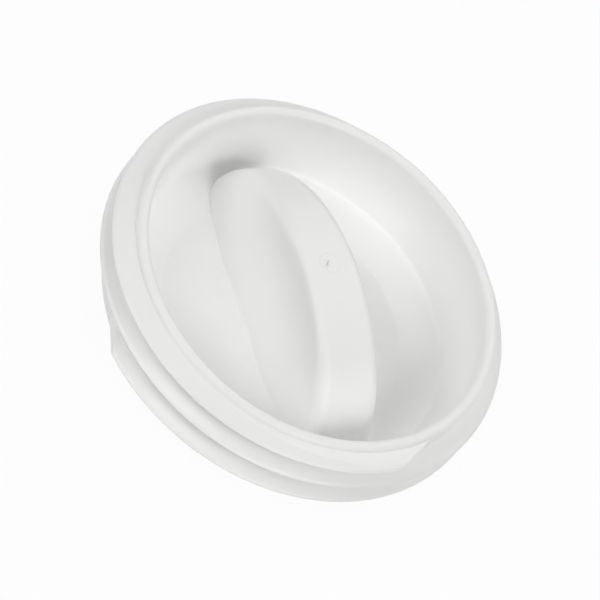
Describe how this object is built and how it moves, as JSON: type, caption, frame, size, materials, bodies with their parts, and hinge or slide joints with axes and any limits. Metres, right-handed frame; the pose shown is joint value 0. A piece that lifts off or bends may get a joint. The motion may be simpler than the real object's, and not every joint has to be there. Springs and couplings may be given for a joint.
{
  "type": "washer pump filter cap",
  "caption": "Round white screw-in cap of a washing machine's pump filter: a deep dish with a half-moon grip bar across it, a coarse outer thread and a rubber ring on the spigot behind.",
  "frame": {"origin": "on the cap's axis, on the end face of the spigot that it lies on", "axes": "+Z along the cap's axis, out of the dish; +X along the grip bar"},
  "size_m": [0.0702, 0.0702, 0.0236],
  "materials": {
    "white_plastic": "satin injection moulding",
    "black_rubber": "matt moulded rubber"
  },
  "bodies": {
    "root": {"filter_cap": "white_plastic", "sealing_ring": "black_rubber"}
  },
  "joints": []
}
